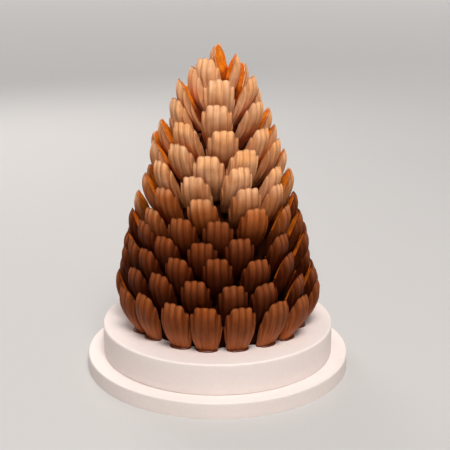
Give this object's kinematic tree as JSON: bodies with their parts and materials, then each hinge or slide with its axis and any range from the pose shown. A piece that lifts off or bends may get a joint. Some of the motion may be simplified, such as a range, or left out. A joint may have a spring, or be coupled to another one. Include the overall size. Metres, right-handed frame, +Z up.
{
  "type": "madeleine tower",
  "caption": "Tall conical tower of chocolate-coated madeleines standing in overlapping tiers, shading from milk brown to blond, on a round two-tier white stand.",
  "frame": {"origin": "centre of the lower board's underside, on the surface the stand rests on", "axes": "+Z up along the tower, -Y towards the front, +X to the right seen from the front"},
  "size_m": [0.4, 0.4, 0.489],
  "materials": {
    "milk_chocolate": "satin milk chocolate coating",
    "blond_chocolate": "satin caramel to blond chocolate coating",
    "sponge": "golden baked sponge crumb",
    "core_chocolate": "dark matt chocolate between the madeleines",
    "white_board": "matt warm white with soft worn edges"
  },
  "bodies": {
    "root": {"board_lower": "white_board", "board_upper": "white_board", "core_and_lower_tiers": "milk_chocolate", "madeleine_06_01": "blond_chocolate", "madeleine_06_02": "blond_chocolate", "madeleine_06_03": "blond_chocolate", "madeleine_06_04": "blond_chocolate", "madeleine_06_05": "blond_chocolate", "madeleine_06_06": "blond_chocolate", "madeleine_06_07": "blond_chocolate", "madeleine_06_08": "blond_chocolate", "madeleine_06_09": "blond_chocolate", "madeleine_07_01": "blond_chocolate", "madeleine_07_02": "blond_chocolate", "madeleine_07_03": "blond_chocolate", "madeleine_07_04": "blond_chocolate", "madeleine_07_05": "blond_chocolate", "madeleine_07_06": "blond_chocolate", "madeleine_07_07": "blond_chocolate", "madeleine_07_08": "blond_chocolate", "madeleine_07_09": "blond_chocolate", "madeleine_07_10": "blond_chocolate", "madeleine_08_01": "blond_chocolate", "madeleine_08_02": "blond_chocolate", "madeleine_08_03": "blond_chocolate", "madeleine_08_04": "blond_chocolate", "madeleine_08_05": "blond_chocolate", "madeleine_08_06": "blond_chocolate", "madeleine_08_07": "blond_chocolate", "madeleine_08_08": "blond_chocolate", "madeleine_09_01": "blond_chocolate", "madeleine_09_02": "blond_chocolate", "madeleine_09_03": "blond_chocolate", "madeleine_09_04": "blond_chocolate", "madeleine_09_05": "blond_chocolate", "madeleine_09_06": "blond_chocolate", "madeleine_09_07": "blond_chocolate", "madeleine_09_08": "blond_chocolate", "madeleine_09_09": "blond_chocolate", "madeleine_09_10": "blond_chocolate", "madeleine_10_01": "blond_chocolate", "madeleine_10_02": "blond_chocolate", "madeleine_10_03": "blond_chocolate", "madeleine_10_04": "blond_chocolate", "madeleine_10_05": "blond_chocolate", "madeleine_10_06": "blond_chocolate", "madeleine_10_07": "blond_chocolate", "madeleine_10_08": "blond_chocolate", "madeleine_11_01": "blond_chocolate", "madeleine_11_02": "blond_chocolate", "madeleine_11_03": "blond_chocolate", "madeleine_11_04": "blond_chocolate", "madeleine_11_05": "blond_chocolate", "madeleine_11_06": "blond_chocolate", "madeleine_11_07": "blond_chocolate", "madeleine_12_01": "blond_chocolate", "madeleine_12_02": "blond_chocolate", "madeleine_12_03": "blond_chocolate", "madeleine_12_04": "blond_chocolate", "madeleine_13_01": "blond_chocolate"}
  },
  "joints": []
}
